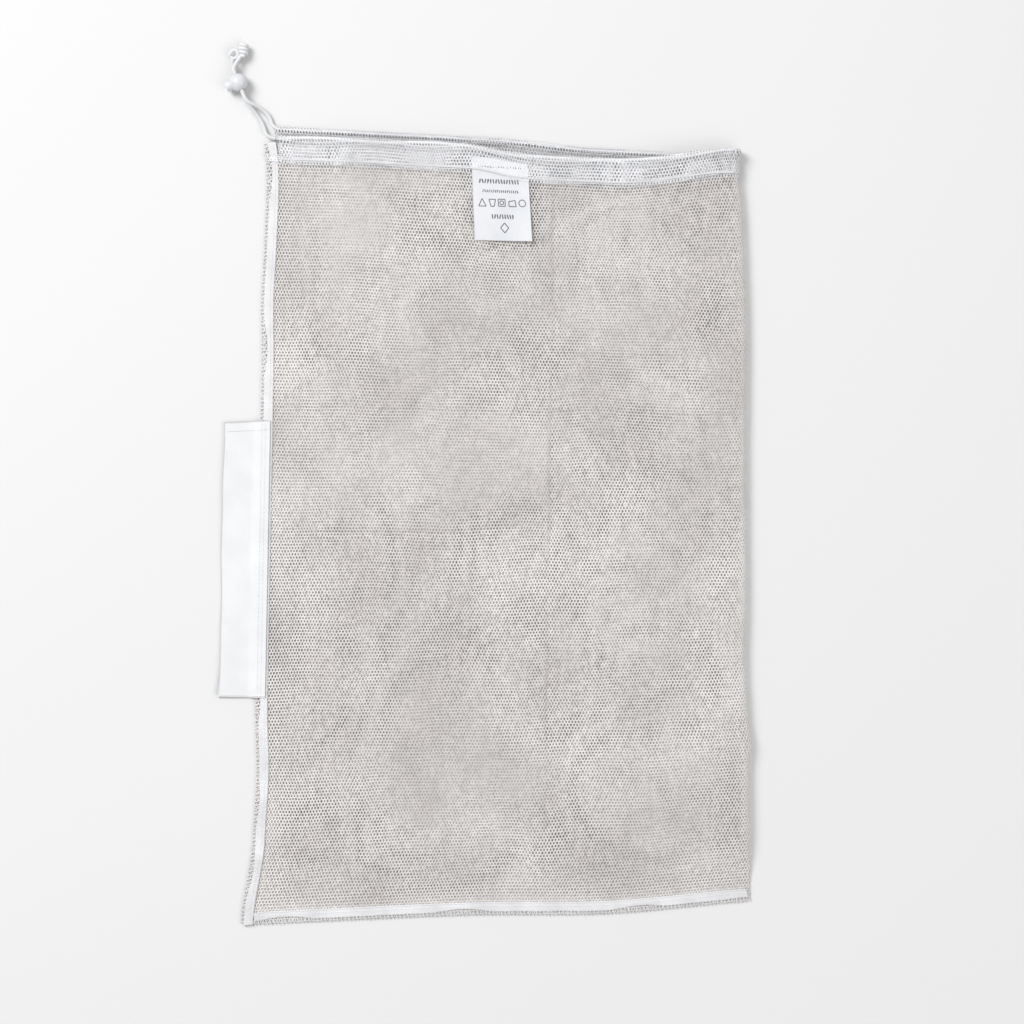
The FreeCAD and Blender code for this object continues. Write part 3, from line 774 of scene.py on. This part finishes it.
def foot_edge(distance, inset, z):
    flat = (seam_foot + foot_along * (8.0 + np.asarray(distance))[..., None]
            + foot_across * np.asarray(inset)[..., None])
    x, y = settled(flat[..., 0], flat[..., 1])
    return np.stack([x, y, np.broadcast_to(z, x.shape)], axis=-1)


side_length = float(np.linalg.norm(seam_foot - corner)) - seam_top_gap
foot_length = float(np.linalg.norm(fold_foot - seam_foot)) - 9.0
side_threads = tube_object("side_seam_threads", overlock(side_edge, side_length), seam_thread_r, 6)
finish_piece(side_threads, thread_material, "bag",
             ["side_seam_overlock", "side_seam_allowance"])
foot_threads = tube_object("foot_seam_threads", overlock(foot_edge, foot_length), seam_thread_r, 6)
finish_piece(foot_threads, thread_material, "bag",
             ["foot_seam_overlock", "foot_seam_allowance"])


# ---------------------------------------------------------------- thin slabs: label and tag
def slab(name, wide, high, thickness, surface):
    """A thin closed sheet. surface gives its middle, for shares across and down."""
    u, v = np.meshgrid(np.linspace(0, 1, wide), np.linspace(0, 1, high), indexing="xy")
    middle = surface(u, v)
    top, under = middle + UP * (thickness / 2), middle - UP * (thickness / 2)
    points = np.concatenate([top.reshape(-1, 3), under.reshape(-1, 3)])
    k, j = np.meshgrid(np.arange(high - 1), np.arange(wide - 1), indexing="ij")
    a = (k * wide + j).ravel()
    upper = np.stack([a, a + wide, a + wide + 1, a + 1], axis=1)
    base = wide * high
    lower = upper[:, ::-1] + base
    rim = np.concatenate([
        np.arange(wide - 1), (np.arange(high - 1) * wide) + wide - 1,
        (high - 1) * wide + np.arange(wide - 1, 0, -1), np.arange(high - 1, 0, -1) * wide])
    rim_next = np.roll(rim, -1)
    sides = np.stack([rim_next, rim, rim + base, rim_next + base], axis=1)
    return make_object(name, points, np.concatenate([upper, lower, sides]))


label_middle = 10.7
label_half = 17.75
label_top, label_crease, label_low = 228.0, 216.5, 176.5


def label_surface(u, v):
    """u across, v down from the end that is caught in the hem."""
    y0 = label_top + (label_low - label_top) * v
    lean = 0.055 * (y0 - label_crease)
    x = label_middle - 1.2 + (u - 0.5) * (2 * label_half + 0.9 * (v - 0.5)) - lean * 0.9
    y = y0 - (x - label_middle) * 0.052 + 1.2 * (u - 0.5) * v
    free = smooth((label_crease - y0) / 12)
    tucked = net_top + 0.42
    z = tucked + free * (0.75 + 0.35 * np.sin(u * 5.0 + 0.8) + 0.5 * np.abs(u - 0.5) ** 2 * 4 * v)
    return np.stack([x, y, z], axis=-1)


label = slab("care_label", 46, 64, 0.22, label_surface)
label.data.materials.append(label_material)
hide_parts("care_label_flap", "care_label_sewn_end")
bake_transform(label)


def ink_strokes(name, strokes, body):
    """Flat strokes of print on the label: each from one share (across, down) to another, and how wide."""
    points, faces = [], []
    for (u0, v0), (u1, v1), wide in strokes:
        ends = label_surface(np.array([u0, u1]), np.array([v0, v1])) + UP * 0.135
        d = ends[1] - ends[0]
        side = np.array([-d[1], d[0], 0.0]) / max(np.hypot(d[0], d[1]), 1e-6) * wide / 2
        base = len(points)
        points += [ends[0] - side, ends[1] - side, ends[1] + side, ends[0] + side]
        points += [p + UP * 0.03 for p in points[base:base + 4]]
        faces += [[base + 4, base + 5, base + 6, base + 7], [base + 3, base + 2, base + 1, base],
                  [base, base + 1, base + 5, base + 4], [base + 1, base + 2, base + 6, base + 5],
                  [base + 2, base + 3, base + 7, base + 6], [base + 3, base, base + 4, base + 7]]
    piece = make_object(name, np.array(points), faces, smooth_shaded=False)
    return finish_piece(piece, ink_material, body)


def dashes(v, first, last, count, wide, tall):
    """A row of short upright and slanted dashes, standing in for a line of print."""
    strokes = []
    step = (last - first) / count
    for k in range(count):
        u = first + (k + 0.5) * step
        lean = rng.uniform(-0.25, 0.25) * step
        strokes.append(((u - lean, v - tall / 2), (u + lean, v + tall / 2), wide))
        if rng.random() < 0.45:
            start = (u - step * 0.3, v + tall * rng.uniform(-0.4, 0.4))
            strokes.append((start, (u + step * 0.3, v), wide * 0.8))
    return strokes


def outline(points, wide=0.52):
    return [(points[k], points[(k + 1) % len(points)], wide) for k in range(len(points))]


def ring(u, v, r, sides):
    angles = [2 * math.pi * k / sides for k in range(sides)]
    return outline([(u + r * math.cos(angle), v + r * 0.7 * math.sin(angle)) for angle in angles])


flap_print = dashes(0.287, 0.115, 0.83, 15, 0.72, 0.052) + dashes(0.406, 0.17, 0.81, 18, 0.50, 0.034)
flap_print += dashes(0.71, 0.31, 0.71, 9, 0.72, 0.052)
flap_print += outline([(0.445, 0.50), (0.565, 0.50), (0.565, 0.585), (0.445, 0.585)])
flap_print += ring(0.505, 0.542, 0.035, 8)
flap_print += outline([(0.10, 0.59), (0.165, 0.50), (0.23, 0.59)]) + ring(0.865, 0.542, 0.06, 12)
flap_print += outline([(0.285, 0.505), (0.40, 0.505), (0.37, 0.59), (0.315, 0.59)])
flap_print += outline([(0.63, 0.525), (0.74, 0.51), (0.755, 0.585), (0.63, 0.585)])
flap_print += outline([(0.465, 0.845), (0.535, 0.785), (0.605, 0.845), (0.535, 0.905)], 0.55)
ink_strokes("care_label_print", flap_print, "care_label")
ink_strokes("care_label_print_tucked", dashes(0.115, 0.12, 0.88, 26, 0.30, 0.02), "bag")

tag_top, tag_low = 64.3, -107.0
tag_left_top, tag_left_low = -163.0, -166.0
tag_right_top, tag_right_low = -134.0, -137.2
tag_stitch = 2.6
tag_hem_v = 0.033               # share of the way down from the tag's top


def tag_surface(lift, spread):
    """One layer of the folded tape: free at its left, over the side seam at its right."""
    def surface(u, v):
        wave = 0.35 * np.sin(v * 9 + 1.2) * (1 - u) + 0.2 * np.sin(v * 23) * (1 - u)
        flare = 1.1 * spread * smooth((v - 0.9) / 0.1)
        left = tag_left_top + (tag_left_low - tag_left_top) * v + wave - flare
        right = tag_right_top + (tag_right_low - tag_right_top) * v
        x = left + (right - left) * u
        y = tag_top + (tag_low - tag_top) * v + 1.4 * (u - 0.5) * (1 - 1.7 * v) - 0.8 * spread
        over = smooth((u - 0.62) / 0.2)
        free_z = 0.62 + lift + 0.6 * np.sin(v * 7 + 0.5) * (1 - u) + 0.5 * (1 - u)
        z = free_z * (1 - over) + (2.56 + lift) * over
        return np.stack([x, y, z + 0.35 * spread * (1 - u) * v], axis=-1)
    return surface


for name, lift, spread in (("side_tag_under", 0.0, 1.0), ("side_tag_over", 0.5, 0.0)):
    sheet = slab(name, 34, 150, 0.38, tag_surface(lift, spread))
    sheet.data.materials.append(tape_material)
    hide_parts("side_tag_flap", "side_tag_sewn_edge")
    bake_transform(sheet)


def on_tag(u, v, lift=0.24):
    return tag_surface(0.5, 0.0)(np.asarray(u, float), np.asarray(v, float)) + UP * lift


v_line = np.linspace(0.008, 0.992, 900)
seam_rows = [stitched(on_tag(np.full(v_line.shape, u), v_line, 0.14), tag_stitch, 0.28)
             for u in (0.90, 0.82)]
u_sewn = np.linspace(0.75, 0.97, 60)
seam_rows.append(stitched(on_tag(u_sewn, np.full(u_sewn.shape, tag_hem_v)), tag_stitch, 0.28))
tag_seam = tube_object("side_tag_seam_stitching", seam_rows, tag_seam_thread_r, 8)
finish_piece(tag_seam, thread_material, "bag", ["side_tag_seam_stitch"])
u_line = np.linspace(0.03, 0.70, 180)
hem_rows = [stitched(on_tag(u_line, np.full(u_line.shape, tag_hem_v)), tag_stitch, 0.28)]
tag_hem = tube_object("side_tag_hem_stitching", hem_rows, tag_hem_thread_r, 8)
finish_piece(tag_hem, thread_material, "side_tag", ["side_tag_hem_stitch"])


# ---------------------------------------------------------------- floor and light
floor_material, _, _, floor_shader = node_material("floor")
floor_shader.inputs["Base Color"].default_value = (0.65, 0.65, 0.65, 1)
floor_shader.inputs["Roughness"].default_value = 0.9
floor_half = 3000.0
floor_corners = floor_half * np.array([[-1, -1, 0], [1, -1, 0], [1, 1, 0], [-1, 1, 0]])
floor = make_object("floor", floor_corners, [[0, 1, 2, 3]])
floor.data.materials.append(floor_material)


def area_light(name, place_m, size, power, aim=(0, 0, 0)):
    data = bpy.data.lights.new(name, "AREA")
    data.size = size
    data.energy = power
    light = bpy.data.objects.new(name, data)
    light.location = place_m
    light.rotation_mode = "QUATERNION"
    light.rotation_quaternion = (Vector(aim) - Vector(place_m)).to_track_quat("-Z", "Y")
    bpy.context.scene.collection.objects.link(light)


area_light("key", (-1.5, 1.3, 2.2), 1.3, 75.0)
area_light("fill", (1.7, -1.0, 2.2), 2.2, 25.0)
world = bpy.data.worlds.new("world")
world.use_nodes = True
world.node_tree.nodes["Background"].inputs["Color"].default_value = (1.0, 1.0, 1.0, 1)
world.node_tree.nodes["Background"].inputs["Strength"].default_value = 0.58
bpy.context.scene.world = world
bpy.context.scene.view_settings.view_transform = "Standard"
